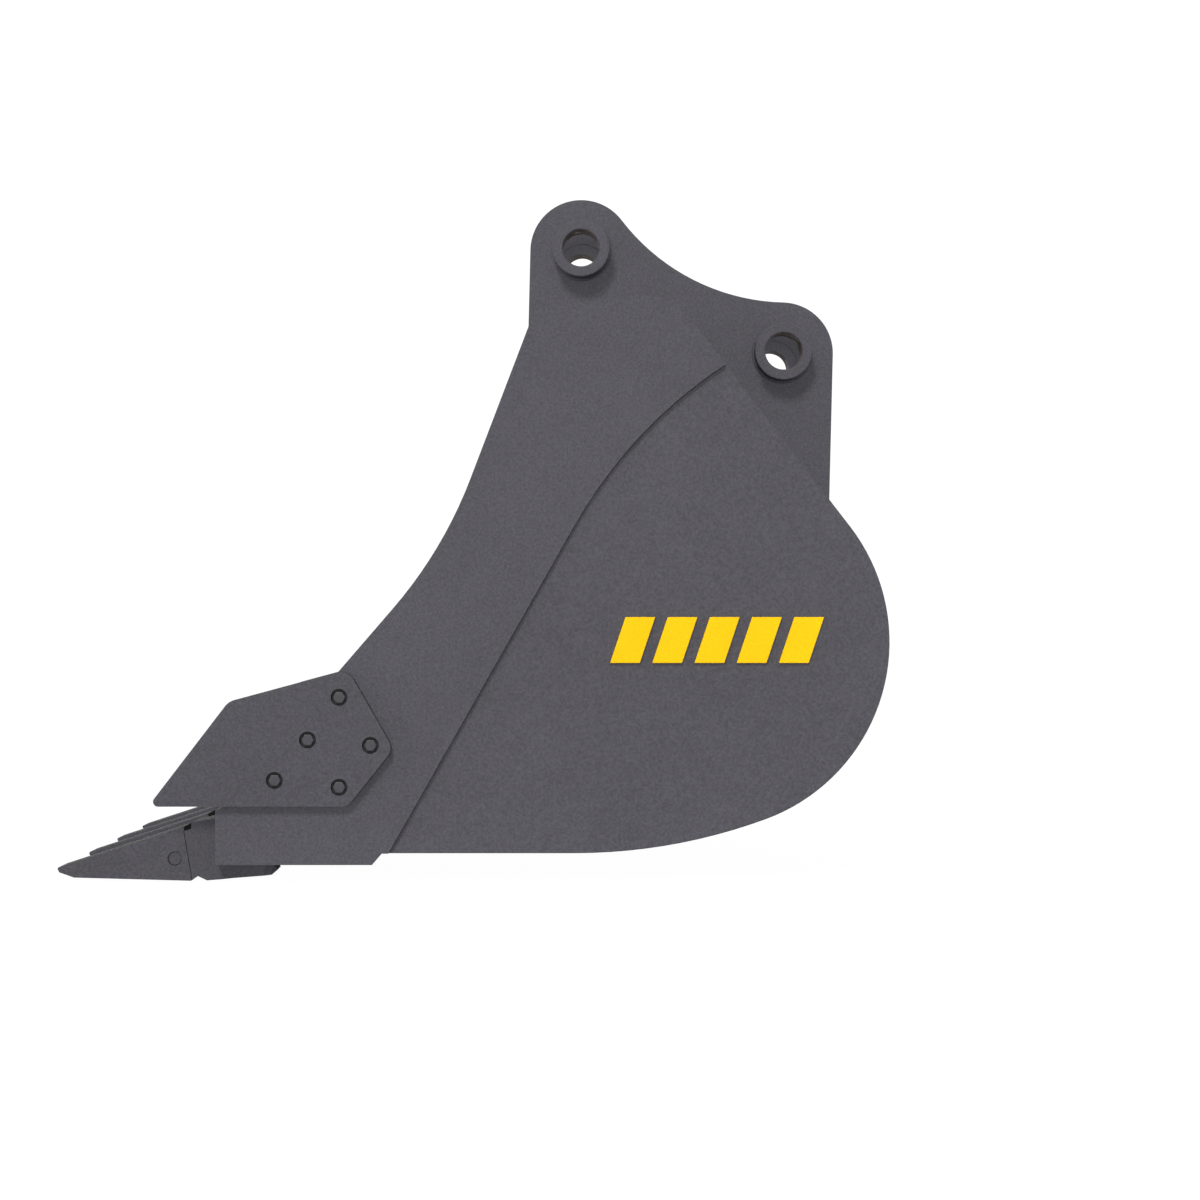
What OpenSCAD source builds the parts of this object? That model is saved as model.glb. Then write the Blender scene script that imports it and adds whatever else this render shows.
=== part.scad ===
// Excavator digging bucket, 20 to 24 t class, with pin-on teeth and bolt-on side cutters.
// Millimetres. Origin on the dipper pin axis at mid width, +X towards the heel, +Y across
// the bucket, +Z up. "left" is the -Y side and "right" is the +Y side.

/* [Hinge] */
// Distance between the dipper pin and the link pin
pin_centres = 470; // [450:5:490]
// How far the line between the pins drops below level, degrees
pin_line_drop = 27; // [24:0.5:30]
// Bore of the pin bosses
pin_bore_d = 76; // [60:1:85]
// Outside diameter of the pin bosses
boss_d = 118; // [105:1:130]
// Length of one boss, ear plate included
boss_len = 80; // [60:1:100]
// Clear gap between the ears, for the end of the dipper arm
ear_gap = 326; // [280:2:380]
// Thickness of an ear plate
ear_t = 30; // [20:1:40]
// Radius of the ear round each pin
ear_lobe_r = 106; // [95:1:115]

/* [Shell] */
// Width over the two side bars
bucket_w = 1170; // [1100:10:1300]
// Depth of the floor below the dipper pin
floor_depth = 1220; // [1200:5:1240]
// Radius of the belly
belly_r = 1077; // [1060:1:1090]
// Radius of the heel
heel_r = 367; // [355:1:380]
// Slope of the back, degrees from level
back_angle = 52.4; // [51:0.2:54]
// Thickness of the rolled wrapper
wrapper_t = 16; // [10:1:20]
// Thickness of a side plate
side_t = 16; // [12:1:20]
// Thickness of a side bar
bar_t = 26; // [22:1:36]
// How far the side plate's edge stands proud of the wrapper
edge_proud = 4; // [0:1:8]
// Radius of the seam between side bar and side plate
seam_r = 910; // [880:5:940]

/* [Torque tube] */
// Thickness of the top plate
top_t = 20; // [16:1:25]
// Thickness of the closing plate inside the bucket
closing_t = 16; // [12:1:20]
// Thickness of the mouth bar
mouth_t = 40; // [30:1:50]
// Height of the mouth bar
mouth_h = 100; // [80:5:110]

/* [Cutting edge] */
// Thickness of the cutting edge
lip_t = 42; // [30:1:45]
// Width of the ground bevel on its front
lip_bevel = 62; // [50:2:80]
// Height left below the bevel
lip_land = 8; // [5:1:15]

/* [Teeth] */
// Distance between neighbouring teeth
tooth_pitch = 327.6; // [315:0.6:330]
// Width of a tooth where it meets the adapter
tooth_w = 112; // [100:1:120]
// Width of a tooth at its point
tooth_tip_w = 85; // [50:1:95]
// Diameter of a tooth pin
tooth_pin_d = 27; // [22:0.5:30]
// Radial clearance of a tooth pin in its holes
tooth_pin_play = 0.3; // [0.3:0.1:0.6]

/* [Side cutters] */
// Thickness of a side cutter
cutter_t = 20; // [18:1:28]
// Thread size of the cutter bolts
bolt_d = 14; // [12:1:16]
// Width across flats of the bolt heads and nuts
bolt_af = 21; // [18:1:24]

/* [Wear strips and marks] */
// Thickness of a wear strip
strip_t = 16; // [10:1:20]
// Width of a wear strip
strip_w = 70; // [50:2:90]
// How far a raised mark stands off the side plate
mark_t = 7; // [3:1:9]

/* [Hidden] */
$fn = 96;
steel = [0.36, 0.35, 0.38];
cast = [0.33, 0.32, 0.35];
bright = [0.62, 0.61, 0.6];
yellow = [0.99, 0.79, 0.12];
rubber = [0.08, 0.08, 0.08];
far = 3000;                       // reaches past the whole bucket
lap = 1;                          // how far a cut runs past a face

// hinge
link = pin_centres * [cos(pin_line_drop), -sin(pin_line_drop)];
ear_tilt = 1.4;                   // both ear edges lean forward going down
neck_r = 438;                     // hollow between the two ear lobes
bore_lead = 2;                    // chamfer at the outer end of a bore
ear_in = ear_gap / 2;
ear_out = ear_in + ear_t;

// shell outline, in the X-Z plane
side_in = bucket_w / 2 - bar_t;   // inner faces of the side plates and side bars
belly_x = -10;                    // where the belly starts to rise
heel_start = 20.2;                // angle from straight down where the heel takes over
belly_c = [belly_x, belly_r - floor_depth];
heel_c = belly_c + (belly_r - heel_r) * [sin(heel_start), -cos(heel_start)];
back_n = [sin(back_angle), cos(back_angle)];          // outward normal of the back
back_dir = [-cos(back_angle), sin(back_angle)];       // up the back
top_z = -140;                     // rear part of the top edge
top_knee_x = 84;                  // where the top edge starts to fall to the mouth
top_fall = 7.4;                   // that fall, degrees
top_round = 40;                   // radius of the bend at the top of the back

// front edge, from the top down: a straight, a hollow and a straight
front_top_angle = 69.1;
front_low_angle = 49.2;
front_r = 846;
front_top = [-86.2, -162.3];
front_t1 = [-212.5, -493.1];
front_c = front_t1 + front_r * [-sin(front_top_angle), cos(front_top_angle)];
front_t2 = front_c + front_r * [sin(front_low_angle), -cos(front_low_angle)];
front_x = -707.5;

// cutting edge and seam
lip_drop = 22;                    // the lip's underside is this far below the floor
lip_bottom = -floor_depth - lip_drop;
lip_top = lip_bottom + lip_t;
lip_rear = -387.5;
lip_scarf = 15.5;                 // rear chamfer of the lip
seam_foot = [-371.5, -floor_depth];
seam_angle = 60.4;
seam_len = 733.4;
seam_t = seam_foot + seam_len * [cos(seam_angle), sin(seam_angle)];
seam_c = seam_t + seam_r * [sin(seam_angle), -cos(seam_angle)];

// torque tube
closing_rise = 15.5;              // slope of the closing plate, degrees
closing_front = front_top + [-40, -mouth_h];

// teeth, in a frame just above the lip's lower front corner
get = [front_x, lip_bottom + 2];
tooth_ys = [for (i = [-1.5:1:1.5]) i * tooth_pitch];
shoulder_top = [-65.9, 61];       // line on which tooth and adapter meet
shoulder_rise = 8.3;              // the tooth's top edge is this far above its shoulder
shoulder_low = [-50, -35];
tooth_pin = [-84.1, 6.8];
pin_hole_r = tooth_pin_d / 2 + tooth_pin_play;
pin_recess = 2.6;                 // a seated pin lies this far below the tooth's side
socket_play = 1;                  // gap between the adapter's nose and the socket
slot_floor = [-52, 65.2];         // rear end of the slot between tooth and adapter
slot_top = [-52, 77];             // and its upper corner
ring_t = 7.6;
ring_r = 20;
nose_w = 76;                      // width of the nose at its root
nose_tip_w = 58;                  // and at its end
seal_w = tooth_w - 5;             // width of the rubber seal in the slot
leg_w = 98;                       // width of the two legs on the lip
tooth_len = 316;                  // from the point to the tooth's shoulder

// side cutters
cutter_in = bucket_w / 2;
cutter_out = cutter_in + cutter_t;
bolts = [[-465, -916], [-525.8, -998.4], [-404.4, -1008.8], [-589.9, -1076.5], [-465, -1089.8]];
counterbore_r = 16.3;
head_h = 9;
head_recess = 1;
bolt_play = 0.75;
washer_r = 15;
washer_t = 3;
nut_h = 13;
thread_out = 4;

// wear strips
strip_ys = [for (i = [-1.5:1:1.5]) i * 200];
strip_front = -380;
strip_end = 20;                   // where a strip stops, degrees round the belly

// raised marks
mark_x = 58.7;
mark_z = -850.2;
mark_len = 415.8;
mark_h = 89.4;
mark_gap = 24;
mark_n = 5;
mark_lean = 30;

function dir(a) = [cos(a), sin(a)];
function unit(v) = v / norm(v);

// Points where the arc that rounds corner b leaves the edges from a and to c
function corner_cut(a, b, c, r) =
    let (u = unit(a - b), v = unit(c - b), half = acos(u * v) / 2)
    [b + u * r / tan(half), b + v * r / tan(half)];
function corner_centre(a, b, c, r) =
    let (u = unit(a - b), v = unit(c - b), half = acos(u * v) / 2)
    b + unit(u + v) * r / sin(half);

// Points along an arc from angle a0 to a1
function arc(c, r, a0, a1, step = 3) =
    let (n = max(1, ceil(abs(a1 - a0) / step)))
    [for (i = [0:n]) c + r * dir(a0 + (a1 - a0) * i / n)];

// The arc that rounds corner b of a path that comes from a and goes on to c
function corner(a, b, c, r) =
    let (u = unit(a - b), v = unit(c - b), half = acos(u * v) / 2,
         m = b + unit(u + v) * r / sin(half), t = b + u * r / tan(half) - m,
         a0 = atan2(t[1], t[0]), turn = 180 - 2 * half,
         way = u[0] * v[1] - u[1] * v[0] < 0 ? 1 : -1)
    arc(m, r, a0, a0 + way * turn, 7.5);

// A closed outline with rounded corners; pts holds [x, z, radius], in order
function rounded(pts) =
    let (n = len(pts), p = [for (q = pts) [q[0], q[1]]])
    [for (i = [0:n - 1]) each pts[i][2] > 0
        ? corner(p[(i + n - 1) % n], p[i], p[(i + 1) % n], pts[i][2]) : [p[i]]];

// X-Z outlines, extruded along Y
module between(y0, y1) {
    translate([0, y1, 0]) rotate([90, 0, 0]) linear_extrude(y1 - y0) children();
}
module slab(s, a, b) {
    if (s < 0) between(-b, -a) children(); else between(a, b) children();
}
// A shape that stands on z = 0, turned to point outwards on side s
module outward(s, x, y, z) {
    translate([x, s * y, z]) rotate([-90 * s, 0, 0]) children();
}

// ---- shell outlines ----

// The bucket's side view behind the front edge, moved in by d all round
module shell_region(d) {
    back_low = heel_c + (heel_r - d) * back_n;
    top = top_z - d;
    top_back = back_low + (top - back_low[1]) / back_dir[1] * back_dir;
    knee = [top_knee_x, top_z] + d * [tan(top_fall / 2), -1];
    front = knee - 900 * dir(top_fall);
    polygon(concat(
        arc(belly_c, belly_r - d, -90, heel_start - 90, 2),
        arc(heel_c, heel_r - d, heel_start - 90, 90 - back_angle),
        corner(back_low, top_back, knee, top_round - d),
        [knee, front, [front[0], d - floor_depth]]));
}

// Everything in front of the mouth line, moved in by d
module mouth_region(d) {
    curve = arc(front_c, front_r + d, front_low_angle - 90, front_top_angle - 90, 2);
    low = curve[0] - far * dir(front_low_angle);
    up = curve[len(curve) - 1] + 600 * dir(front_top_angle);
    polygon(concat([low], curve, [up, [-far, up[1]], [-far, low[1]]]));
}

// Everything on the rear side of the seam
module seam_region() {
    low = seam_t - far * dir(seam_angle);
    polygon(concat([[far, low[1]], low], arc(seam_c, seam_r, 90 + seam_angle, 90, 2),
                   [[far, seam_c[1] + seam_r]]));
}

module side_outline() {
    difference() {
        shell_region(0);
        mouth_region(0);
    }
}

// Where the wrapper starts: behind the lip, below and behind the top plate
module wrapper_band() {
    top_cut = [160, top_z];
    polygon([[lip_rear, -floor_depth - lap], [far, -floor_depth - lap], [far, 0],
             [top_cut[0], 0], [top_cut[0], -400], [lip_rear, -400]]);
}

module shell_wrapper() {
    color(steel) between(-side_in, side_in) intersection() {
        difference() {
            shell_region(edge_proud);
            shell_region(edge_proud + wrapper_t);
        }
        wrapper_band();
    }
}

module top_plate() {
    color(steel) between(-side_in, side_in) difference() {
        intersection() {
            translate([-200, -400]) square([360, 400]);
            shell_region(edge_proud);
        }
        shell_region(edge_proud + top_t);
        mouth_region(edge_proud);
    }
}

// Space inside the torque tube's skins, down to the closing plate's upper face
module closing_line(drop) {
    a = closing_front - drop * [sin(closing_rise), cos(closing_rise)];
    polygon([a - 100 * dir(-closing_rise), a + 900 * dir(-closing_rise), [900, 400], [-400, 400]]);
}

module mouth_bar() {
    color(steel) between(-side_in, side_in) difference() {
        intersection() {
            shell_region(edge_proud + top_t);
            translate([-300, closing_front[1]]) square([400, 400]);
            mouth_region(edge_proud + mouth_t);
        }
        mouth_region(edge_proud);
    }
}

module closing_plate() {
    color(steel) between(-side_in, side_in) difference() {
        intersection() {
            shell_region(edge_proud + wrapper_t);
            closing_line(closing_t);
        }
        closing_line(0);
        mouth_region(edge_proud);
        translate([-300, closing_front[1]]) square([400, 400]);
    }
}

module tube_diaphragms() {
    color(steel) for (s = [-1, 1]) slab(s, ear_in, ear_in + ear_t) difference() {
        intersection() {
            shell_region(edge_proud + max(wrapper_t, top_t));
            closing_line(0);
        }
        mouth_region(edge_proud + mouth_t);
    }
}

module side_plate(s) {
    color(steel) slab(s, side_in, side_in + side_t) intersection() {
        side_outline();
        seam_region();
    }
}

module side_bar(s) {
    color(steel) difference() {
        slab(s, side_in, side_in + bar_t) {
            difference() {
                side_outline();
                seam_region();
                translate([-far, -far]) square([far + front_x, far]);
            }
            polygon([[front_x, -floor_depth], [front_x, lip_bottom],
                     [lip_rear - lip_scarf, lip_bottom], [lip_rear, -floor_depth]]);
        }
        for (b = bolts) outward(s, b[0], side_in - lap, b[1])
            cylinder(h = bar_t + 2 * lap, r = bolt_d / 2 + bolt_play, $fn = 32);
    }
}

module lip_outline() {
    polygon([[front_x, lip_bottom], [lip_rear - lip_scarf, lip_bottom],
             [lip_rear, -floor_depth], [lip_rear, lip_top], [front_x + lip_bevel, lip_top],
             [front_x, lip_bottom + lip_land]]);
}

module cutting_edge() {
    color(steel) between(-side_in, side_in) lip_outline();
}

// ---- ears and bosses ----

module ear_outline() {
    lean = dir(-90 - ear_tilt);
    front = ear_lobe_r * dir(180 - ear_tilt);
    rear = link + ear_lobe_r * dir(-ear_tilt);
    // centre of the hollow, the same distance from both pins
    mid = link / 2;
    reach = neck_r + ear_lobe_r;
    neck_c = mid + sqrt(reach * reach - mid * mid) * [-link[1], link[0]] / pin_centres;
    a0 = atan2(neck_c[1], neck_c[0]);
    a1 = atan2(neck_c[1] - link[1], neck_c[0] - link[0]);
    polygon(concat([front + 600 * lean],
        arc([0, 0], ear_lobe_r, 180 - ear_tilt, a0, 4),
        arc(neck_c, neck_r, a0 - 180, a1 - 180, 3),
        arc(link, ear_lobe_r, a1, -ear_tilt, 4),
        [rear + 600 * lean]));
}

module ear(s) {
    color(steel) difference() {
        slab(s, ear_in, ear_out) difference() {
            ear_outline();
            difference() {
                shell_region(edge_proud);
                mouth_region(edge_proud);
            }
        }
        for (p = [[0, 0], link]) outward(s, p[0], ear_in - lap, p[1])
            cylinder(h = ear_t + 2 * lap, d = boss_d);
    }
}

module boss(s, p) {
    r = boss_d / 2;
    rim = 1.5;
    color(steel) outward(s, p[0], ear_in, p[1]) rotate_extrude() polygon([
        [pin_bore_d / 2, 0], [r, 0], [r, boss_len - rim], [r - rim, boss_len],
        [pin_bore_d / 2 + bore_lead, boss_len], [pin_bore_d / 2, boss_len - bore_lead]]);
}

// ---- teeth ----

module at_tooth(i) {
    translate([get[0], tooth_ys[i - 1], get[1]]) children();
}

// Plan outline that tapers from width w0 at x0 to w1 at x1, extruded upwards
module taper(x0, w0, x1, w1) {
    translate([0, 0, -200]) linear_extrude(500)
        polygon([[x0, -w0 / 2], [x1, -w1 / 2], [x1, w1 / 2], [x0, w0 / 2]]);
}

module nose(grow) {
    intersection() {
        between(-100, 100) polygon([
            [-40, 50 + grow], [shoulder_top[0], 50 + grow], [-198 - grow, 10 + grow],
            [-198 - grow, -17 - grow], [shoulder_low[0], -20 - grow], [-40, -20 - grow]]);
        taper(-40, nose_w + 2 * grow + 2, -198 - grow, nose_tip_w + 2 * grow);
    }
}

module adapter(i) {
    leg_end = 178;
    low_end = 114;
    color(cast) at_tooth(i) difference() {
        union() {
            nose(0);
            intersection() {
                between(-100, 100) difference() {
                    polygon([shoulder_low, [-38.9, -27.2], [-21, -35.6], [low_end - 10, -26],
                             [low_end, -16], [low_end - 13, 0], [low_end - 13, lip_t / 2],
                             [leg_end, lip_t / 2],
                             [leg_end, lip_t + 10], [leg_end - 12, lip_t + 22], [70, 84],
                             [20, 91], slot_top, slot_floor, shoulder_top]);
                    translate(-get) lip_outline();
                }
                translate([0, 0, -200]) linear_extrude(500) polygon([
                    [-90, -tooth_w / 2], [6, -tooth_w / 2], [30, -leg_w / 2],
                    [leg_end - 34, -leg_w / 2], [leg_end, -leg_w / 2 + 26],
                    [leg_end, leg_w / 2 - 26], [leg_end - 34, leg_w / 2],
                    [30, leg_w / 2], [6, tooth_w / 2], [-90, tooth_w / 2]]);
            }
        }
        translate([tooth_pin[0], 0, tooth_pin[1]]) rotate([90, 0, 0]) {
            cylinder(h = tooth_w + 2, r = pin_hole_r, center = true);
            translate([0, 0, nose_w / 2 - ring_t - 3]) cylinder(h = 40, r = ring_r);
        }
        // the lower leg narrows at its end
        for (s = [-1, 1]) translate([0, 0, -60]) linear_extrude(60) polygon([
            [low_end - 24, s * leg_w / 2], [low_end - 10, s * (leg_w / 2 - 8)],
            [low_end + 1, s * (leg_w / 2 - 26)], [low_end + 1, s * (leg_w / 2 + 1)],
            [low_end - 24, s * (leg_w / 2 + 1)]]);
    }
}

module tooth(i) {
    color(cast) at_tooth(i) difference() {
        intersection() {
            between(-100, 100) polygon([
                shoulder_top + [0, shoulder_rise], shoulder_top, shoulder_low, [-52.5, -36.4],
                [-283, -31.4], [-312.3, -21.4], [-315.8, -14.4], [-314.3, -11.6]]);
            taper(-50, tooth_w, -tooth_len, tooth_tip_w);
        }
        nose(socket_play);
        translate([tooth_pin[0], 0, tooth_pin[1]]) rotate([90, 0, 0])
            cylinder(h = tooth_w + 2, r = pin_hole_r, center = true);
    }
}

module tooth_pin_body(i) {
    lead = 1.5;
    r = tooth_pin_d / 2;
    half = tooth_w / 2 - 1.8 - pin_recess;
    groove = 2.2;
    g0 = nose_w / 2 - ring_t - 2;
    g1 = nose_w / 2 - 4;
    color(bright) at_tooth(i) translate([tooth_pin[0], 0, tooth_pin[1]]) rotate([90, 0, 0])
        rotate_extrude() polygon([
            [0, -half], [r - lead, -half], [r, lead - half], [r, g0], [r - groove, g0 + groove],
            [r - groove, g1 - groove], [r, g1], [r, half - lead], [r - lead, half], [0, half]]);
}

module tooth_seals() {
    color(rubber) for (i = [1:4]) at_tooth(i) between(seal_w / -2, seal_w / 2)
        polygon([shoulder_top, shoulder_top + [0, shoulder_rise], slot_top, slot_floor]);
}

module pin_rings() {
    color(bright) for (i = [1:4]) at_tooth(i)
        translate([tooth_pin[0], 0, tooth_pin[1]]) rotate([90, 0, 0])
            translate([0, 0, nose_w / 2 - ring_t - 3]) difference() {
                cylinder(h = ring_t, r = ring_r - 0.5);
                translate([0, 0, -lap]) cylinder(h = ring_t + 2 * lap, r = pin_hole_r);
            }
}

// ---- side cutters ----

module cutter_outline() {
    polygon(rounded([[-834.4, -1127.3, 9.6], [-678.5, -924, 34], [-448.5, -861.9, 30],
                     [-360, -1016, 26], [-449, -1127.3, 26]]));
}

module side_cutter(s) {
    color(steel) difference() {
        slab(s, cutter_in, cutter_out) cutter_outline();
        for (b = bolts) outward(s, b[0], cutter_in, b[1]) {
            translate([0, 0, -lap])
                cylinder(h = cutter_t + 2 * lap, r = bolt_d / 2 + bolt_play, $fn = 32);
            translate([0, 0, cutter_t - head_h - head_recess])
                cylinder(h = cutter_t, r = counterbore_r, $fn = 48);
        }
    }
}

module hexagon(h) {
    cylinder(h = h, d = bolt_af / cos(30), $fn = 6);
}

module cutter_bolts(s) {
    top = bolt_af / 2 / cos(30);
    cone = 2;
    shank = cutter_t - head_h - head_recess + bar_t + washer_t + nut_h + thread_out;
    color(steel) for (b = bolts) outward(s, b[0], cutter_out - head_recess - head_h, b[1]) {
        intersection() {
            hexagon(head_h);
            union() {
                cylinder(h = head_h - cone, r = top + 1, $fn = 48);
                translate([0, 0, head_h - cone])
                    cylinder(h = cone, r1 = top + 1, r2 = bolt_af / 2 - 1, $fn = 48);
            }
        }
        translate([0, 0, -shank]) cylinder(h = shank, d = bolt_d, $fn = 32);
    }
}

module cutter_washers(s) {
    color(steel) for (b = bolts) outward(s, b[0], side_in - washer_t, b[1]) difference() {
        cylinder(h = washer_t, r = washer_r, $fn = 48);
        translate([0, 0, -lap])
            cylinder(h = washer_t + 2 * lap, r = bolt_d / 2 + bolt_play / 2, $fn = 32);
    }
}

module cutter_nuts(s) {
    color(steel) for (b = bolts) outward(s, b[0], side_in - washer_t - nut_h, b[1]) difference() {
        hexagon(nut_h);
        translate([0, 0, -lap]) cylinder(h = nut_h + 2 * lap, d = bolt_d, $fn = 32);
    }
}

// ---- wear strips and marks ----

module wear_strips() {
    color(steel) for (y = strip_ys) between(y - strip_w / 2, y + strip_w / 2) intersection() {
        difference() {
            shell_region(edge_proud - strip_t);
            shell_region(edge_proud);
        }
        polygon([[strip_front, -2 * floor_depth], [strip_front, -900], [belly_x, -900],
                 belly_c + 2 * belly_r * dir(strip_end - 90),
                 [belly_x, -2 * floor_depth]]);
    }
}

module mark(s) {
    w = (mark_len - mark_lean - mark_gap * (mark_n - 1)) / mark_n;
    color(yellow) slab(s, side_in + side_t, side_in + side_t + mark_t)
        for (i = [0:mark_n - 1]) translate([mark_x + i * (w + mark_gap), mark_z])
            polygon([[0, 0], [w, 0], [w + mark_lean, mark_h], [mark_lean, mark_h]]);
}

shell_wrapper();
top_plate();
closing_plate();
mouth_bar();
tube_diaphragms();
side_plate(-1);  // side_plate_left
side_plate(1);  // side_plate_right
side_bar(-1);  // side_bar_left
side_bar(1);  // side_bar_right
cutting_edge();
ear(-1);  // ear_left
ear(1);  // ear_right
boss(-1, [0, 0]);  // boss_dipper_left
boss(1, [0, 0]);  // boss_dipper_right
boss(-1, link);  // boss_link_left
boss(1, link);  // boss_link_right
adapter(1);  // adapter_1
adapter(2);  // adapter_2
adapter(3);  // adapter_3
adapter(4);  // adapter_4
tooth(1);  // tooth_1
tooth(2);  // tooth_2
tooth(3);  // tooth_3
tooth(4);  // tooth_4
tooth_pin_body(1);  // tooth_pin_1
tooth_pin_body(2);  // tooth_pin_2
tooth_pin_body(3);  // tooth_pin_3
tooth_pin_body(4);  // tooth_pin_4
tooth_seals();
pin_rings();
side_cutter(-1);  // side_cutter_left
side_cutter(1);  // side_cutter_right
cutter_bolts(-1);  // cutter_bolts_left
cutter_bolts(1);  // cutter_bolts_right
cutter_washers(-1);  // cutter_washers_left
cutter_washers(1);  // cutter_washers_right
cutter_nuts(-1);  // cutter_nuts_left
cutter_nuts(1);  // cutter_nuts_right
wear_strips();
mark(-1);  // mark_left
mark(1);  // mark_right
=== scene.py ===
"""Looks of the excavator bucket: camera, light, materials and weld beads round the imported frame."""

import math
import random

import bmesh
import bpy
from mathutils import Euler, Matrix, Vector
from mathutils.bvhtree import BVHTree


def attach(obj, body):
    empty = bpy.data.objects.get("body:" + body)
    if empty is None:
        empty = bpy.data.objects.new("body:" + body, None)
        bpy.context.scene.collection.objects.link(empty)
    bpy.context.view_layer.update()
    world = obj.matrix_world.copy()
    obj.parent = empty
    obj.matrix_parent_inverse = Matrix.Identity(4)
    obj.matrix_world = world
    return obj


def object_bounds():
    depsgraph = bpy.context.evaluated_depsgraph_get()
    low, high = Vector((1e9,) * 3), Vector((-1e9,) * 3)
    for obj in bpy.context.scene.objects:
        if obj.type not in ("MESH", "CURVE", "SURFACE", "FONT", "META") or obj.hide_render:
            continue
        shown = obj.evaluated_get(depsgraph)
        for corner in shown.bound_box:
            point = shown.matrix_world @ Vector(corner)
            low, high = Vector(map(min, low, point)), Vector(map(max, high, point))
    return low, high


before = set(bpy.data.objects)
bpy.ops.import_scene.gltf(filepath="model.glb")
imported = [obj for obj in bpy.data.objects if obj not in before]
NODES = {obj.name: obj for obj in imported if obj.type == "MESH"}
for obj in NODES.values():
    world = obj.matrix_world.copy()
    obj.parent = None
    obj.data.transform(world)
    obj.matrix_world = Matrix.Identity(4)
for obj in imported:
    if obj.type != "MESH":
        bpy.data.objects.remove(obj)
cad_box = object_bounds()
rng = random.Random(20)         # for the ripples of the weld beads

# ---------------------------------------------------------------- what part.scad sets, in metres

SIDES = (("left", -1), ("right", 1))         # name, sign of Y
SIDE_IN = 0.559                 # inner face of the side plates
DIPPER = (0.0, 0.0)             # the pins' axes, (X, Z)
LINK = (0.470 * math.cos(math.radians(27)), -0.470 * math.sin(math.radians(27)))
BORE_REACH = 0.0405             # past a bore's lead-in, short of the boss's outside
EAR_FACES = (0.163, 0.193)      # inner and outer
BOSS_R = 0.059
# the side cutters' bolts
BOLTS = ((-0.465, -0.916), (-0.5258, -0.9984), (-0.4044, -1.0088), (-0.5899, -1.0765),
         (-0.465, -1.0898))
COUNTERBORE_REACH = 0.0166
HEAD_SEAT = 0.586               # beyond this |Y|, a bolt is all head
TEETH = range(1, 5)
TOOTH_YS = [(i - 1.5) * 0.3276 for i in range(4)]
LIP_FRONT, LIP_BACK, LIP_TOP, LIP_BOTTOM = -0.7075, -0.3875, -1.200, -1.242
BEVEL_RUN, BEVEL_DROP = 0.062, 0.034         # of the lip's upper front edge
WRAPPER_BOTTOM = -1.216
TOP_PLATE_BACK = 0.160
CLOSING_FRONT, CLOSING_SLOPE = (-0.1305, -0.2777), math.radians(15.5)
SEAM_FOOT = Vector((-0.3715, 0, -1.220))     # of side bar and side plate: a line, then an arc
SEAM_ANGLE, SEAM_LINE, SEAM_R = 60.4, 0.7334, 0.910
STRIP_YS, STRIP_HALF = (-0.3, -0.1, 0.1, 0.3), 0.035

# ---------------------------------------------------------------- camera, light, floor

CAMERA_AT = (0.03925, -5.834, -0.7278)
LENS, SENSOR = 81.19, 36.0      # mm
AMBIENT = 0.345                 # radiance of the room's light
# name, direction of travel, strength, angular size in degrees, seen in reflections
LAMPS = (("key", (0.25, 1.0, -0.84), 1.53, 14, True),
         ("front_fill", (0.03, 1.0, -0.03), 1.87, 11, False),
         ("back_fill", (0.35, -1.0, -0.50), 2.40, 40, False),
         ("side_fill", (-1.0, -0.15, -0.35), 1.10, 40, False),
         ("mouth_fill", (1.0, 0.06, 0.10), 1.40, 50, False))
FLOOR_Z = cad_box[0].z - 0.0004              # a hair under the bucket
FLOOR_HALF, FLOOR_GLOW, FLOOR_GREY = 30, 0.985, 0.03
BACKDROP_R, BACKDROP_GLOW = 60, 1.05


def make_camera():
    data = bpy.data.cameras.new("camera")
    data.lens, data.sensor_width = LENS, SENSOR
    data.clip_start, data.clip_end = 0.1, 100.0
    camera = bpy.data.objects.new("camera", data)
    camera.location = CAMERA_AT
    camera.rotation_euler = Euler((math.radians(90), 0, 0))
    bpy.context.scene.collection.objects.link(camera)
    bpy.context.scene.camera = camera


def make_light():
    world = bpy.data.worlds.new("studio")
    bpy.context.scene.world = world
    world.use_nodes = True
    back = world.node_tree.nodes["Background"]
    back.inputs["Color"].default_value = (1, 1, 1, 1)
    back.inputs["Strength"].default_value = AMBIENT
    for name, travel, strength, angle, glossy in LAMPS:
        data = bpy.data.lights.new(name, "SUN")
        data.energy, data.angle = strength, math.radians(angle)
        lamp = bpy.data.objects.new(name, data)
        lamp.visible_glossy = glossy
        lamp.rotation_mode = "QUATERNION"
        lamp.rotation_quaternion = Vector(travel).to_track_quat("-Z", "Y")
        bpy.context.scene.collection.objects.link(lamp)


make_camera()
make_light()
bpy.context.scene.view_settings.view_transform = "Standard"

# ---------------------------------------------------------------- materials

MOST = (0.25, 0.75)             # the range that most of a noise's values are in


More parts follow.
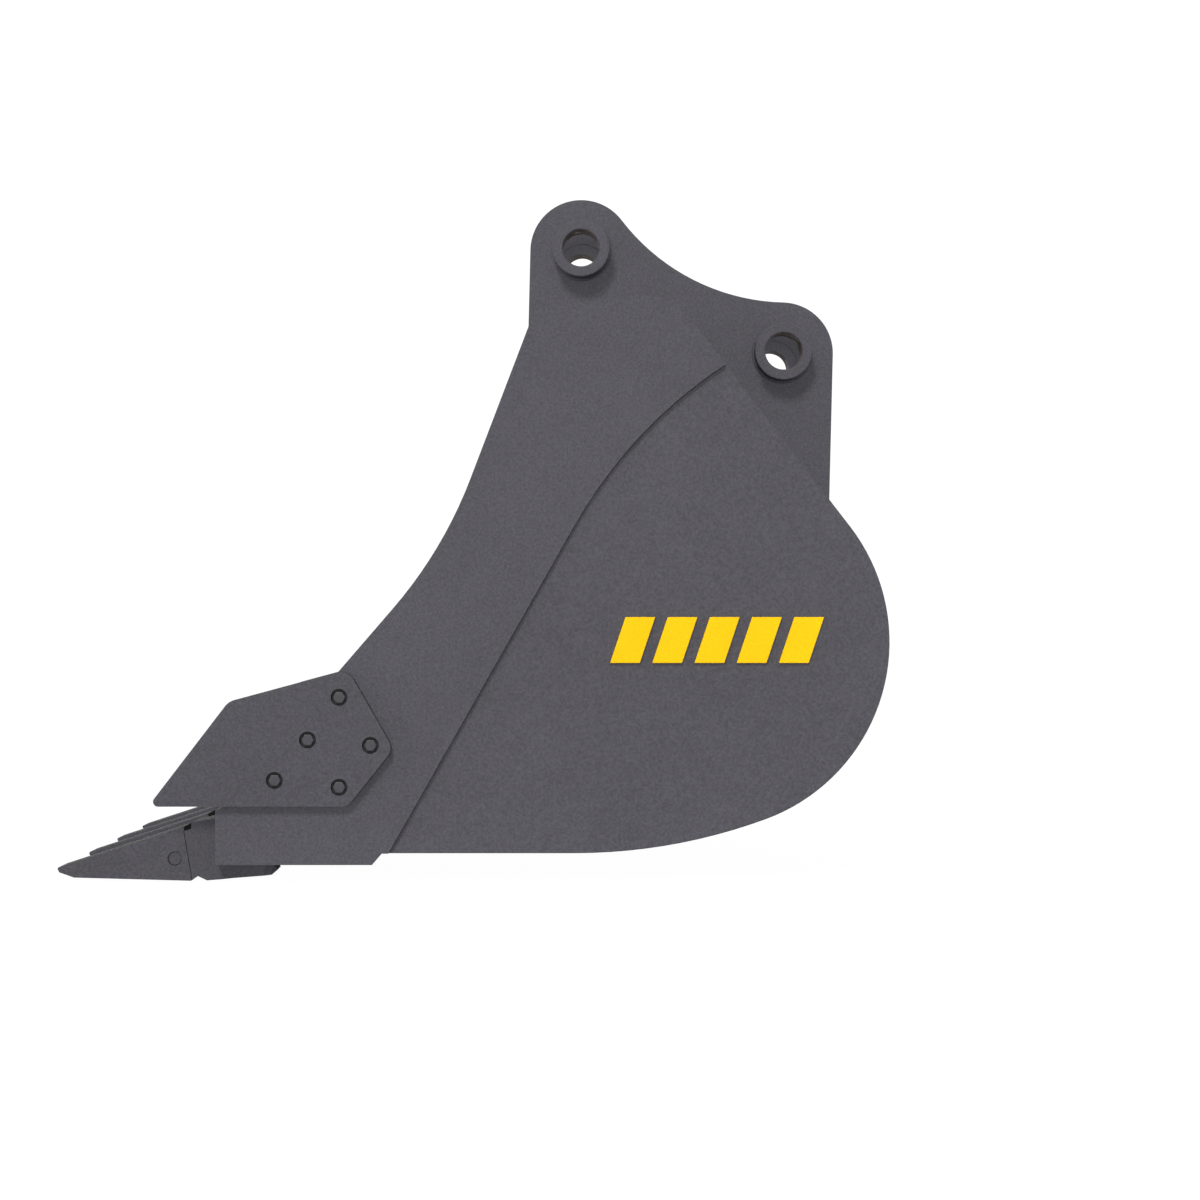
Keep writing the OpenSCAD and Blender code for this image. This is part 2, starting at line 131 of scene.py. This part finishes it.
class Graph:
    """A material's node tree, with short calls for the nodes used here. Scales are per metre."""

    def __init__(self, name):
        self.material = bpy.data.materials.new(name)
        self.material.use_nodes = True
        self.tree = self.material.node_tree
        self.shader = self.tree.nodes["Principled BSDF"]
        self.coords = self.tree.nodes.new("ShaderNodeTexCoord").outputs["Object"]

    def put(self, value, socket):
        if isinstance(value, bpy.types.NodeSocket):
            self.tree.links.new(value, socket)
        else:
            socket.default_value = value

    def noise(self, scale, detail=2.0, rough=0.5, stretch=None):
        coords = self.coords
        if stretch:
            mapping = self.tree.nodes.new("ShaderNodeMapping")
            mapping.inputs["Scale"].default_value = stretch
            self.put(coords, mapping.inputs["Vector"])
            coords = mapping.outputs["Vector"]
        node = self.tree.nodes.new("ShaderNodeTexNoise")
        self.put(coords, node.inputs["Vector"])
        node.inputs["Scale"].default_value = scale
        node.inputs["Detail"].default_value = detail
        node.inputs["Roughness"].default_value = rough
        return node.outputs["Fac"]

    def cells(self, scale):
        node = self.tree.nodes.new("ShaderNodeTexVoronoi")
        self.put(self.coords, node.inputs["Vector"])
        node.inputs["Scale"].default_value = scale
        return node.outputs["Distance"]

    def span(self, value, low, high, start=0.0, end=1.0):
        """value from start..end laid on low..high."""
        node = self.tree.nodes.new("ShaderNodeMapRange")
        for socket, v in zip(("Value", "From Min", "From Max", "To Min", "To Max"),
                             (value, start, end, low, high)):
            self.put(v, node.inputs[socket])
        return node.outputs["Result"]

    def math(self, kind, a, b=0.0):
        node = self.tree.nodes.new("ShaderNodeMath")
        node.operation = kind
        self.put(a, node.inputs[0])
        self.put(b, node.inputs[1])
        return node.outputs["Value"]

    def mix(self, factor, a, b, kind="MIX"):
        node = self.tree.nodes.new("ShaderNodeMix")
        node.data_type, node.blend_type = "RGBA", kind
        for index, v in ((0, factor), (6, a), (7, b)):
            self.put(v, node.inputs[index])
        return node.outputs[2]

    def grey(self, value):
        node = self.tree.nodes.new("ShaderNodeCombineColor")
        for name in ("Red", "Green", "Blue"):
            self.put(value, node.inputs[name])
        return node.outputs["Color"]

    def facing_up(self):
        node = self.tree.nodes.new("ShaderNodeNewGeometry")
        split = self.tree.nodes.new("ShaderNodeSeparateXYZ")
        self.put(node.outputs["Normal"], split.inputs["Vector"])
        return split.outputs["Z"]

    def bump(self, height, strength, distance):
        node = self.tree.nodes.new("ShaderNodeBump")
        node.inputs["Strength"].default_value = strength
        node.inputs["Distance"].default_value = distance
        self.put(height, node.inputs["Height"])
        self.put(node.outputs["Normal"], self.shader.inputs["Normal"])

    def finish(self, colour, roughness, metal=0.0, specular=0.5):
        self.put(colour, self.shader.inputs["Base Color"])
        self.put(roughness, self.shader.inputs["Roughness"])
        self.shader.inputs["Metallic"].default_value = metal
        self.shader.inputs["Specular IOR Level"].default_value = specular
        return self.material


def shaded(g, colour, *layers):
    """colour times each (noise, depth) layer, whose mean is 1."""
    out = (*colour, 1.0)
    for noise, depth in layers:
        out = g.mix(1.0, out, g.grey(g.span(noise, 1 - depth, 1 + depth, *MOST)), "MULTIPLY")
    return out


def paint(name, colour, roughness=0.52, specular=0.35, grain=0.27, dust=0.0):
    """Sprayed matte enamel: fine grain, orange peel, faint clouds, and dust on what faces up."""
    g = Graph(name)
    fine, peel = g.noise(227, 2, 0.6), g.noise(95, 2)
    clouds, patches = g.noise(2.6, 4, 0.55), g.noise(17, 3)
    tone = shaded(g, colour, (fine, grain), (clouds, 0.05), (patches, 0.03))
    if dust:
        lying = g.math("MULTIPLY", g.span(g.facing_up(), 0, 1, 0.35, 1.0),
                       g.span(g.noise(34, 5, 0.65), 0.25, 1.0, 0.3, 0.75))
        tone = g.mix(g.math("MULTIPLY", lying, dust), tone, DUST)
    rough = g.math("ADD", g.span(patches, roughness - 0.06, roughness + 0.06, *MOST),
                   g.span(fine, -0.05, 0.05, *MOST))
    g.bump(g.math("ADD", g.math("MULTIPLY", peel, 0.7), g.math("MULTIPLY", fine, 0.5)), 0.35, 0.0006)
    return g.finish(tone, rough, 0.0, specular)


def casting(name, colour):
    """Painted cast steel: coarse sand-cast skin, shallow pits, and an olive tint on what faces up."""
    g = Graph(name)
    sand, skin, clouds = g.noise(210, 3, 0.65), g.noise(60, 3), g.noise(6, 4)
    pits = g.span(g.cells(120), 0, 1, 0.0, 0.35)
    tone = shaded(g, colour, (sand, 0.34), (clouds, 0.06), (skin, 0.05))
    lying = g.math("MULTIPLY", g.span(g.facing_up(), 0, 1, 0.25, 0.9),
                   g.span(g.noise(40, 5, 0.65), 0.5, 1.0, 0.3, 0.7))
    tone = g.mix(g.math("MULTIPLY", lying, 0.38), tone, OLIVE)
    rough = g.span(sand, 0.5, 0.68, *MOST)
    g.bump(g.math("ADD", g.math("ADD", g.math("MULTIPLY", skin, 0.8), g.math("MULTIPLY", sand, 0.6)),
                  g.math("MULTIPLY", pits, 0.35)), 0.5, 0.0010)
    return g.finish(tone, rough, 0.0, 0.35)


def machined(name, colour, stretch, rough_low, rough_high):
    """Turned steel: tool lines round the axis on which stretch is largest."""
    g = Graph(name)
    lines, stain, fine = g.noise(1.0, 3, 0.6, stretch), g.noise(28, 4, 0.6), g.noise(420, 2)
    tone = shaded(g, colour, (lines, 0.10), (stain, 0.07), (fine, 0.03))
    rough = g.math("ADD", g.span(lines, rough_low, rough_high, *MOST),
                   g.span(stain, -0.04, 0.05, *MOST))
    g.bump(g.math("ADD", lines, g.math("MULTIPLY", fine, 0.2)), 0.25, 0.0002)
    return g.finish(tone, rough, 1.0, 0.5)


def oiled_bore(name, colour):
    """Bored steel under a film of dark oil, smoother where it is thin."""
    g = Graph(name)
    lines, stain, fine = g.noise(1.0, 3, 0.6, (8, 900, 8)), g.noise(22, 3, 0.6), g.noise(420, 2)
    tone = shaded(g, colour, (lines, 0.18), (stain, 0.30), (fine, 0.08))
    thin = g.span(g.noise(34, 2), 0.0, 1.0, 0.55, 0.68)
    g.bump(g.math("ADD", lines, g.math("MULTIPLY", fine, 0.2)), 0.25, 0.0002)
    return g.finish(tone, g.span(thin, 0.5, 0.22), 0.0, 0.2)


def phosphate(name, colour):
    """Black phosphated fasteners; also, in near-black, the painted shade in the bolts' recesses."""
    g = Graph(name)
    fine, stain = g.noise(600, 3, 0.6), g.noise(70, 4)
    tone = shaded(g, colour, (fine, 0.12), (stain, 0.10))
    g.bump(fine, 0.3, 0.0003)
    return g.finish(tone, g.span(stain, 0.38, 0.58, *MOST), 0.25, 0.5)


GREY = (0.068, 0.0655, 0.0765)               # the enamel
CAST_GREY = (0.0592, 0.0568, 0.0665)
YELLOW = (0.84, 0.505, 0.003)
OILED = (0.170, 0.140, 0.122)
STEEL = (0.42, 0.41, 0.40)
BLACK = (0.068, 0.067, 0.075)
SHADE = (0.030, 0.030, 0.032)                # painted shade: near-black for recesses that light doesn't reach
# near-black that stands in for shade in the slots behind the teeth and in the tooth joints
SLOT_SHADE_BLACK = (0.006, 0.006, 0.006)
DUST = (0.235, 0.215, 0.165, 1)
OLIVE = (0.080, 0.082, 0.053, 1)

PAINT = paint("bucket_paint", GREY, dust=0.04)
WELD = paint("weld_paint", tuple(c * 1.04 for c in GREY), roughness=0.46, grain=0.22)
# painted shade: the enamel made 7 per cent darker for the side cutters, standing in for light that
# weakens towards the bucket's lower front corner
CUTTER_PAINTED_SHADE = paint("cutter_paint_painted_shade", tuple(c * 0.93 for c in GREY), dust=0.03)
CAST = casting("cast_paint", CAST_GREY)
MARK = paint("mark_paint", YELLOW, roughness=0.50, specular=0.2, grain=0.08)
BORE = oiled_bore("bore_steel", OILED)
PIN = machined("pin_steel", STEEL, (30, 500, 30), 0.30, 0.42)
BOLT = phosphate("bolt_phosphate", BLACK)
# painted shade: near-black for the counterbores and the bolt heads' flanks
PAINTED_POCKET_SHADE = phosphate("bolt_pocket_painted_shade", SHADE)
# painted shade: near-black for the seals in the slots behind the teeth and for the tooth joints
SLOT_PAINTED_SHADE = paint("seal_rubber", SLOT_SHADE_BLACK, roughness=0.75, specular=0.2, grain=0.05)

# ---------------------------------------------------------------- the frame's nodes

SAME_POINT = 0.00002            # corners closer than this are one
FLAT = math.radians(0.4)        # faces that meet at less than this are one
SHARP = math.radians(28)        # edges that turn more than this are softened


def dress(name, material, bevel):
    """A node's material, softened edges and even shading. Its mesh keeps its shape."""
    node = NODES[name]
    node.material_slots[0].material = material
    for face in node.data.polygons:
        face.use_smooth = True
    weld = node.modifiers.new("weld", "WELD")
    weld.merge_threshold = SAME_POINT
    flat = node.modifiers.new("flat", "DECIMATE")
    flat.decimate_type, flat.angle_limit = "DISSOLVE", FLAT
    flat.delimit = {"MATERIAL"}
    edge = node.modifiers.new("edge", "BEVEL")
    edge.width, edge.segments = bevel, 2
    edge.limit_method, edge.angle_limit = "ANGLE", SHARP
    edge.use_clamp_overlap = True
    edge.miter_outer = "MITER_ARC"
    even = node.modifiers.new("even", "WEIGHTED_NORMAL")
    even.weight, even.keep_sharp = 60, False


def second_finish(name, material, chosen):
    """Gives the faces for which chosen(centre, normal) holds a material of their own."""
    mesh = NODES[name].data
    mesh.materials.append(material)
    for face in mesh.polygons:
        if chosen(face.center, face.normal):
            face.material_index = 1


def line_bore(name, centre):
    """The bore's wall in a boss gets oiled steel. Its lead-in stays painted."""
    def wall(at, normal):
        out = Vector((at.x - centre[0], 0, at.z - centre[1]))
        return out.length < BORE_REACH and normal.dot(out) < 0 and abs(normal.y) < 0.5
    second_finish(name, BORE, wall)


def in_counterbore(at, _):
    return any(math.hypot(at.x - x, at.z - z) < COUNTERBORE_REACH for x, z in BOLTS)


def on_head_flank(at, normal):
    return abs(normal.y) < 0.5 and abs(at.y) > HEAD_SEAT


for side, _ in SIDES:
    for what in ("side_plate", "side_bar"):
        dress(f"{what}_{side}", PAINT, 0.0015)
    dress(f"ear_{side}", PAINT, 0.0012)
    for pin, axis in (("dipper", DIPPER), ("link", LINK)):
        dress(f"boss_{pin}_{side}", PAINT, 0.0005)
        line_bore(f"boss_{pin}_{side}", axis)
    # the side cutters take the darker copy of the enamel, a painted shade
    dress(f"side_cutter_{side}", CUTTER_PAINTED_SHADE, 0.0014)
    dress(f"cutter_bolts_{side}", BOLT, 0.0007)
    dress(f"cutter_washers_{side}", BOLT, 0.0004)
    dress(f"cutter_nuts_{side}", BOLT, 0.0007)
    dress(f"mark_{side}", MARK, 0.0012)
    # painted shade: the counterbores and the bolt heads' flanks get a near-black finish that stands
    # in for the shade inside them
    second_finish(f"side_cutter_{side}", PAINTED_POCKET_SHADE, in_counterbore)
    second_finish(f"cutter_bolts_{side}", PAINTED_POCKET_SHADE, on_head_flank)
for name in ("shell_wrapper", "top_plate", "closing_plate", "mouth_bar", "tube_diaphragms",
             "cutting_edge", "wear_strips"):
    dress(name, PAINT, 0.0015)
for i in TEETH:
    dress(f"adapter_{i}", CAST, 0.0025)
    dress(f"tooth_{i}", CAST, 0.0022)
    dress(f"tooth_pin_{i}", PIN, 0.0010)
    # the pins' ends were painted with the teeth
    second_finish(f"tooth_pin_{i}", CAST, lambda _, normal: abs(normal.y) > 0.6)
dress("pin_rings", PIN, 0.0005)
# painted shade: the seals make the slots behind the teeth near-black, standing in for the deep shade
# in them
dress("tooth_seals", SLOT_PAINTED_SHADE, 0.0006)

# ---------------------------------------------------------------- weld beads


def bvh(*names):
    """These nodes' faces together, for casting rays at."""
    points, faces = [], []
    for name in names:
        mesh = NODES[name].data
        start = len(points)
        points += [v.co.copy() for v in mesh.vertices]
        faces += [[start + i for i in p.vertices] for p in mesh.polygons]
    return BVHTree.FromPolygons(points, faces)


# A bead's section in units of its two legs: FILLET fills a corner, CAP lies over a flush joint
FILLET = [(-0.22, -0.22), (1.0, -0.14)]
FILLET += [(math.cos(t) ** 1.45, math.sin(t) ** 1.45) for t in
           (math.radians(d) for d in (12, 30, 45, 60, 78))] + [(-0.14, 1.0)]
CAP = [(-1.0, -0.35), (0.0, -0.5), (1.0, -0.35), (0.82, 0.42), (0.45, 0.82), (0.0, 1.0),
       (-0.45, 0.82), (-0.82, 0.42)]


def resample(path, step):
    """Rows of (place, a, b, length so far), evenly spaced along the path."""
    lengths = [0.0]
    for p, q in zip(path, path[1:]):
        lengths.append(lengths[-1] + (q[0] - p[0]).length)
    total = lengths[-1]
    count = max(2, round(total / step) + 1)
    out, k = [], 0
    for i in range(count):
        s = total * i / (count - 1)
        while k < len(path) - 2 and lengths[k + 1] < s:
            k += 1
        t = (s - lengths[k]) / max(lengths[k + 1] - lengths[k], 1e-9)
        (p, a, b), (q, c, d) = path[k], path[k + 1]
        out.append((p.lerp(q, t), a.lerp(c, t).normalized(), b.lerp(d, t).normalized(), s))
    return out


class Beads:
    """Ripple-faced weld beads, gathered into one mesh piece."""

    def __init__(self, name):
        self.name, self.points, self.faces = name, [], []

    def run(self, path, leg_a, leg_b=None, profile=FILLET, pitch=0.0072, closed=False):
        """A bead along path, whose rows are (place, direction of leg a, direction of leg b)."""
        leg_b = leg_b or leg_a
        rings, n = resample(path, pitch / 3), len(profile)
        if closed:
            rings = rings[:-1]
        start, phase = len(self.points), rng.random()
        for p, a, b, s in rings:
            wave = abs(math.sin(math.pi * (s / pitch + phase)))      # one scale per pitch
            swell = 0.93 + 0.085 * wave + rng.uniform(-0.02, 0.02)
            for u, v in profile:
                self.points.append(p + a * (u * leg_a * swell) + b * (v * leg_b * swell))
        count = len(rings)
        for i in range(count if closed else count - 1):
            j = (i + 1) % count
            for k in range(n):
                m = (k + 1) % n
                self.faces.append([start + i * n + k, start + i * n + m,
                                   start + j * n + m, start + j * n + k])
        if not closed:
            self.faces.append([start + k for k in range(n)])
            self.faces.append([start + (count - 1) * n + k for k in reversed(range(n))])

    def across(self, x, z, a, b, leg_a, leg_b, profile):
        """A bead along Y through (x, z), from one side seam to the other."""
        a, b = Vector((a[0], 0, a[1])), Vector((b[0], 0, b[1]))
        self.run([(Vector((x, y, z)), a, b) for y in (-SEAM_END, SEAM_END)], leg_a, leg_b, profile)

    def make(self, material=WELD):
        mesh = bpy.data.meshes.new(self.name)
        bm = bmesh.new()
        vs = [bm.verts.new(p) for p in self.points]
        for face in self.faces:
            bm.faces.new([vs[i] for i in face])
        bmesh.ops.recalc_face_normals(bm, faces=bm.faces)
        for face in bm.faces:
            face.smooth = len(face.verts) == 4
        bm.to_mesh(mesh)
        bm.free()
        mesh.materials.append(material)
        piece = bpy.data.objects.new(self.name, mesh)
        bpy.context.scene.collection.objects.link(piece)
        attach(piece, "bucket")


SHELL = bvh("shell_wrapper", "top_plate", "closing_plate", "mouth_bar", "cutting_edge")
OUTER = bvh("shell_wrapper", "top_plate", "mouth_bar")
CENTRE = Vector((-0.02, 0, -0.78))           # a point in the cavity that sees all of the shell
NEAR_SIDE = 0.5585              # where the shell's section is taken for the side seams
SEAM_END = 0.556                # where the seams along Y end, inside the side seams
DOWN = Vector((0, 0, -1))


def ring(tree, y, first, last, outside, step=0.5):
    """Section of a tree at y, seen from CENTRE or from outside, as (point, normal) pairs.

    Angles are in degrees, with 0 along +X and 90 upwards.
    """
    out = []
    for i in range(int((last - first) / step) + 1):
        t = math.radians(first + i * step)
        way = Vector((math.cos(t), 0, math.sin(t)))
        at = Vector((CENTRE.x, y, CENTRE.z))
        hit = tree.ray_cast(at + way * 2, -way) if outside else tree.ray_cast(at, way)
        if hit[0] is not None:
            normal = hit[1] if hit[1].dot(way) * (1 if outside else -1) > 0 else -hit[1]
            out.append((hit[0], normal))
    return out


def side_seams():
    """The shell on the side plates, all round the inside and the outside."""
    for side, s in SIDES:
        beads = Beads(f"weld_side_{side}")
        inward = Vector((0, -s, 0))
        # degrees round CENTRE, which face of the shell, legs on the shell and on the side plate
        for first, last, outside, leg_a, leg_b in ((-148, 98, False, 0.008, 0.008),
                                                   (-125, 97, True, 0.006, 0.0036)):
            path = [(Vector((p.x, s * SIDE_IN, p.z)), inward, n) for p, n in
                    ring(OUTER if outside else SHELL, s * NEAR_SIDE, first, last, outside)]
            beads.run(path, leg_a, leg_b)
        beads.make()


def foot_runs(ear, y, away):
    """Stretches of the shell's top on which the ear's face at y stands, as bead paths."""
    side = Vector((0, away, 0))
    runs, path = [], []
    for i in range(300):                     # every 3 mm from X = -0.2 to 0.7
        above = Vector((-0.20 + i * 0.003, y + away * 0.001, 0.3))
        p, n = OUTER.ray_cast(above, DOWN)[:2]
        stands = p is not None and ear.ray_cast(p + n * 0.004 + side, -side, 1.002)[0] is not None
        if stands:
            path.append((Vector((p.x, y, p.z)), side, n))
        elif path:
            runs.append(path)
            path = []
    return [path for path in runs if len(path) > 3]


def ear_seams():
    """The ears' feet on the shell, and the bosses on the ears."""
    beads = Beads("weld_ears")
    for side, s in SIDES:
        ear = bvh(f"ear_{side}")
        for y, away in zip(EAR_FACES, (-s, s)):
            for path in foot_runs(ear, s * y, away):
                beads.run(path, 0.009)
        for axis in (DIPPER, LINK):
            centre, circle = Vector((axis[0], s * EAR_FACES[1], axis[1])), []
            for i in range(61):
                t = math.radians(6 * i)
                out = Vector((math.cos(t), 0, math.sin(t)))
                circle.append((centre + out * BOSS_R, out, Vector((0, s, 0))))
            beads.run(circle, 0.0045, closed=True, pitch=0.0055)
    beads.make()


def plan_path(points, height):
    """A bead's path round plan points. height(x) gives the plate's level and normal there."""
    out = []
    for p, q in zip(points, points[1:]):
        p, q = Vector(p), Vector(q)
        way = (q - p).normalized()
        away = Vector((way.y, -way.x, 0))
        inset = min(0.005, (q - p).length * 0.3)
        for at in (p + way * inset, q - way * inset):
            z, normal = height(at.x)
            out.append((Vector((at.x, at.y, z)), away, normal))
    return out


def lip_above(x):
    """Level and normal of the lip's upper face, with its bevelled front."""
    behind = LIP_FRONT + BEVEL_RUN
    if x > behind:
        return LIP_TOP, Vector((0, 0, 1))
    return (LIP_TOP - (behind - x) * BEVEL_DROP / BEVEL_RUN,
            Vector((-BEVEL_DROP, 0, BEVEL_RUN)).normalized())


def lip_below(_):
    return LIP_BOTTOM, DOWN


# Half of the outline of an adapter's leg on the lip: distance behind the lip's front, and Y
UPPER_LEG = [(0.010, -0.0548), (0.030, -0.049), (0.062, -0.049), (0.144, -0.049), (0.178, -0.023)]
LOWER_LEG = [(0.008, -0.0554), (0.030, -0.049), (0.090, -0.049), (0.101, -0.043), (0.1025, -0.040)]


def tooth_seams():
    """Both legs of every adapter on the cutting edge."""
    beads = Beads("weld_adapters")
    for y0 in TOOTH_YS:
        for half, height, leg in ((UPPER_LEG, lip_above, 0.0095), (LOWER_LEG, lip_below, 0.0075)):
            outline = half + [(x, -y) for x, y in reversed(half)]
            beads.run(plan_path([(LIP_FRONT + x, y0 + y, 0) for x, y in outline], height), leg)
    beads.make()


def lip_seams():
    """Cutting edge and wrapper, inside and underneath."""
    beads = Beads("weld_lip")
    beads.across(LIP_BACK, LIP_TOP, (1, 0), (0, 1), 0.0090, 0.0022, CAP)
    beads.across(LIP_BACK, WRAPPER_BOTTOM, (1, 0), (0, -1), 0.0080, 0.0045, FILLET)
    beads.make()


def tube_seams():
    """The torque tube's plates with each other and with the wrapper."""
    beads = Beads("weld_tube")
    top = OUTER.ray_cast(Vector((TOP_PLATE_BACK + 0.001, 0.3, 0.3)), DOWN)[0]
    beads.across(TOP_PLATE_BACK, top.z, (1, 0), (0, 1), 0.0090, 0.0020, CAP)
    # the mouth bar's front face, from its lowest corner to its highest
    corners = [v.co for v in NODES["mouth_bar"].data.vertices]
    seat = max(corners, key=lambda v: v.z - 2 * v.x)
    foot = min(corners, key=lambda v: v.z + 0.5 * v.x)
    up = (seat - foot).normalized()
    up = (up.x / math.hypot(up.x, up.z), up.z / math.hypot(up.x, up.z))
    for at in (seat, foot):
        beads.across(at.x, at.z, up, (-up[1], up[0]), 0.0060, 0.0016, CAP)
    # the closing plate's back edge, found with a ray just under the plate
    back = Vector((math.cos(CLOSING_SLOPE), 0, -math.sin(CLOSING_SLOPE)))
    down = Vector((-math.sin(CLOSING_SLOPE), 0, -math.cos(CLOSING_SLOPE)))
    start = Vector((CLOSING_FRONT[0], 0.3, CLOSING_FRONT[1])) + down * 0.003 + back * 0.05
    hit, normal = SHELL.ray_cast(start, back)[:2]
    along = Vector((normal.z, 0, -normal.x))
    along = along if along.dot(down) > 0 else -along
    beads.across(hit.x - down.x * 0.003, hit.z - down.z * 0.003, (-back.x, -back.z),
                 (along.x, along.z), 0.0095, 0.0095, FILLET)
    beads.make()


def plate_seams():
    """Side bar and side plate, seen from inside the bucket, where they lie flush."""
    lean = math.radians(SEAM_ANGLE)
    turn = SEAM_FOOT + SEAM_LINE * Vector((math.cos(lean), 0, math.sin(lean)))
    centre = turn + SEAM_R * Vector((math.sin(lean), 0, -math.cos(lean)))
    line = [SEAM_FOOT + (turn - SEAM_FOOT) * t for t in (0.05, 0.35, 0.65, 1.0)]
    line += [centre + SEAM_R * Vector((math.cos(t), 0, math.sin(t)))
             for t in (math.radians(SEAM_ANGLE + 90 - 1.5 * i) for i in range(1, 40))]
    # only what shows from inside the cavity
    line = [p for p in line
            if SHELL.ray_cast(CENTRE, p - CENTRE, (p - CENTRE).length + 0.012)[0] is None]
    beads = Beads("weld_bars")
    for _, s in SIDES:
        path = []
        for i, p in enumerate(line):
            way = (line[min(i + 1, len(line) - 1)] - line[max(i - 1, 0)]).normalized()
            path.append((Vector((p.x, s * SIDE_IN, p.z)), Vector((way.z, 0, -way.x)),
                         Vector((0, -s, 0))))
        beads.run(path, 0.0080, 0.0020, CAP)
    beads.make()


def strip_seams():
    """Wear strips on the belly, along both sides and across both ends."""
    strips, wrapper = bvh("wear_strips"), bvh("shell_wrapper")
    beads = Beads("weld_strips")
    belly = (-140, -50, True)
    for y in STRIP_YS:
        for away in (-1, 1):
            body = ring(strips, y + away * (STRIP_HALF - 0.001), *belly, 0.25)
            first, last = body[0][0], body[-1][0]
            path = [(Vector((p.x, y + away * STRIP_HALF, p.z)), Vector((0, away, 0)), n)
                    for p, n in ring(wrapper, y + away * (STRIP_HALF + 0.001), *belly)
                    if first.x < p.x < last.x + 0.008]
            beads.run(path, 0.0075, pitch=0.0095)
        for (p, _, n), sign in ((path[0], -1), (path[-1], 1)):
            tangent = Vector((-n.z, 0, n.x)) * sign
            end = [(Vector((p.x, y + e, p.z)), tangent, n)
                   for e in (0.002 - STRIP_HALF, STRIP_HALF - 0.002)]
            beads.run(end, 0.0075, pitch=0.0095)
    beads.make()


def joint_painted_shade():
    """Painted shade: a near-black line in the groove where each tooth meets its adapter, standing in
    for the shade in that joint.
    """
    beads = Beads("tooth_joint_painted_shade")
    # ends of the joint on a tooth's flank, Y from the tooth's middle
    high, low = Vector((-0.7733, 0.0550, -1.1790)), Vector((-0.7575, 0.0556, -1.2745))
    way = (high - low).normalized()
    across = Vector((way.z, 0, -way.x))
    for y0 in TOOTH_YS:
        for _, s in SIDES:
            ends = [(Vector((p.x, y0 + s * p.y, p.z)), across, Vector((0, s, 0)))
                    for p in (low, high)]
            beads.run(ends, 0.0017, 0.0005, CAP, 0.03)
    beads.make(SLOT_PAINTED_SHADE)


side_seams()
ear_seams()
tooth_seams()
joint_painted_shade()
lip_seams()
tube_seams()
plate_seams()
strip_seams()

# ---------------------------------------------------------------- floor


def stage_piece(name, bm, glow, grey):
    """A floor or backdrop that the camera sees and that throws no light on the bucket."""
    mesh = bpy.data.meshes.new(name)
    bm.to_mesh(mesh)
    bm.free()
    piece = bpy.data.objects.new(name, mesh)
    bpy.context.scene.collection.objects.link(piece)
    piece.visible_diffuse = piece.visible_glossy = piece.visible_shadow = False
    material = bpy.data.materials.new(name + "_white")
    material.use_nodes = True
    shader = material.node_tree.nodes["Principled BSDF"]
    shader.inputs["Base Color"].default_value = (grey, grey, grey, 1)
    shader.inputs["Roughness"].default_value = 1.0
    shader.inputs["Specular IOR Level"].default_value = 0.0
    shader.inputs["Emission Color"].default_value = (1, 1, 1, 1)
    shader.inputs["Emission Strength"].default_value = glow
    mesh.materials.append(material)


def make_stage():
    bm = bmesh.new()
    bm.faces.new([bm.verts.new((x * FLOOR_HALF, y * FLOOR_HALF, FLOOR_Z))
                  for x, y in ((-1, -1), (1, -1), (1, 1), (-1, 1))])
    stage_piece("floor", bm, FLOOR_GLOW, FLOOR_GREY)
    bm = bmesh.new()
    bmesh.ops.create_icosphere(bm, subdivisions=4, radius=BACKDROP_R)
    stage_piece("backdrop", bm, BACKDROP_GLOW, 0.0)


make_stage()
